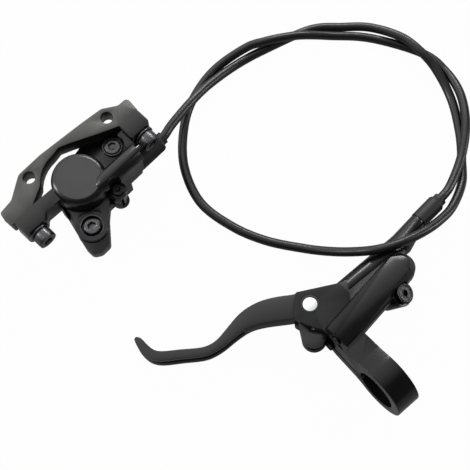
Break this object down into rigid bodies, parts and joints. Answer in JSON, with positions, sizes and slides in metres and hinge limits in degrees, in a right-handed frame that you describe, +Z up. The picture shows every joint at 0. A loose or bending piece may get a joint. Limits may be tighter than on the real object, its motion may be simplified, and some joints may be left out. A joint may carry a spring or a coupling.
{
  "type": "bicycle_hydraulic_disc_brake",
  "caption": "Bicycle hydraulic disc brake: two-piston caliper on an adapter bracket, long looped hose, and a hinged lever with master cylinder, reservoir and handlebar clamp",
  "frame": {"origin": "under the middle of the box round the caliper and the lever, on the table that the brake lies on", "axes": "+Z up from the table, +X from the caliper's side to the clamp's side, +Y from the lever's side to the caliper's side"},
  "size_m": [0.2477, 0.2255, 0.04],
  "materials": {
    "black_alloy": "anodised, satin black",
    "grey_alloy": "anodised, satin grey",
    "dark_steel": "blackened",
    "bare_steel": "polished",
    "brass": "bare",
    "pad_plate": "plated",
    "friction": "rough",
    "rubber": "matte",
    "hose_nylon": "smooth black"
  },
  "bodies": {
    "brake": {"caliper_outer_half": "black_alloy", "caliper_inner_half": "black_alloy", "upper_body_bolt": "dark_steel", "lower_body_bolt": "dark_steel", "outer_piston_seal": "rubber", "inner_piston_seal": "rubber", "pad_spring": "bare_steel", "pad_pin": "dark_steel", "pad_pin_clip": "bare_steel", "crossover_o_ring": "rubber", "caliper_bleed_screw": "dark_steel", "adapter_bracket": "grey_alloy", "caliper_mount_bolts": "dark_steel", "caliper_mount_washers": "dark_steel", "caliper_hose_nut": "dark_steel", "caliper_hose_olive": "brass", "caliper_hose_barb": "bare_steel", "caliper_hose_boot": "rubber", "hose": "hose_nylon", "lever_hose_boot": "rubber", "lever_hose_nut": "dark_steel", "lever_hose_olive": "brass", "lever_hose_barb": "bare_steel", "master_cylinder_body": "black_alloy", "reservoir_cap": "black_alloy", "reservoir_cap_screw": "dark_steel", "reservoir_bladder": "rubber", "bleed_screw": "dark_steel", "bleed_screw_o_ring": "rubber", "clamp_bolt": "dark_steel", "pivot_pin": "bare_steel", "return_spring": "bare_steel", "retaining_ring": "bare_steel", "dust_boot": "rubber"},
    "lever": {"lever_blade": "black_alloy", "pivot_bushes": "brass", "pushrod_pin": "bare_steel"},
    "rod": {"pushrod": "bare_steel"},
    "master": {"master_piston": "grey_alloy", "primary_seal": "rubber", "secondary_seal": "rubber"},
    "outer_pad": {"outer_piston": "bare_steel", "outer_pad_backing": "pad_plate", "outer_pad_friction": "friction"},
    "inner_pad": {"inner_piston": "bare_steel", "inner_pad_backing": "pad_plate", "inner_pad_friction": "friction"}
  },
  "joints": [
    {"name": "lever_pull", "type": "hinge", "parent": "brake", "child": "lever", "pos_m": [0.0422, -0.02615, 0.0103], "axis": [-0.0758, 0.0887, 0.9932], "range_deg": [0, 25], "stiffness_Nm_per_rad": 0.4, "springref_deg": -17.19, "deforming": ["dust_boot"]},
    {"name": "rod_swing", "type": "hinge", "parent": "lever", "child": "rod", "pos_m": [0.0437, -0.03715, 0.0114], "axis": [-0.0758, 0.0887, 0.9932], "range_deg": [-21.5, 0]},
    {"name": "master_stroke", "type": "slide", "parent": "brake", "child": "master", "axis": [0.7604, 0.6494, 0], "range_m": [0, 0.0044], "deforming": ["return_spring"]},
    {"name": "outer_pad_press", "type": "slide", "parent": "brake", "child": "outer_pad", "axis": [0, 0, -1], "range_m": [0, 0.0007], "deforming": ["pad_spring"]},
    {"name": "inner_pad_press", "type": "slide", "parent": "brake", "child": "inner_pad", "axis": [0, 0, 1], "range_m": [0, 0.0007]}
  ],
  "couplings": [
    {"joint": "rod_swing", "follows": "lever_pull", "ratio": -0.8475},
    {"joint": "master_stroke", "follows": "lever_pull", "m_per_rad": 0.01002},
    {"joint": "outer_pad_press", "follows": "lever_pull", "m_per_rad": 0.0016},
    {"joint": "inner_pad_press", "follows": "lever_pull", "m_per_rad": 0.0016}
  ]
}
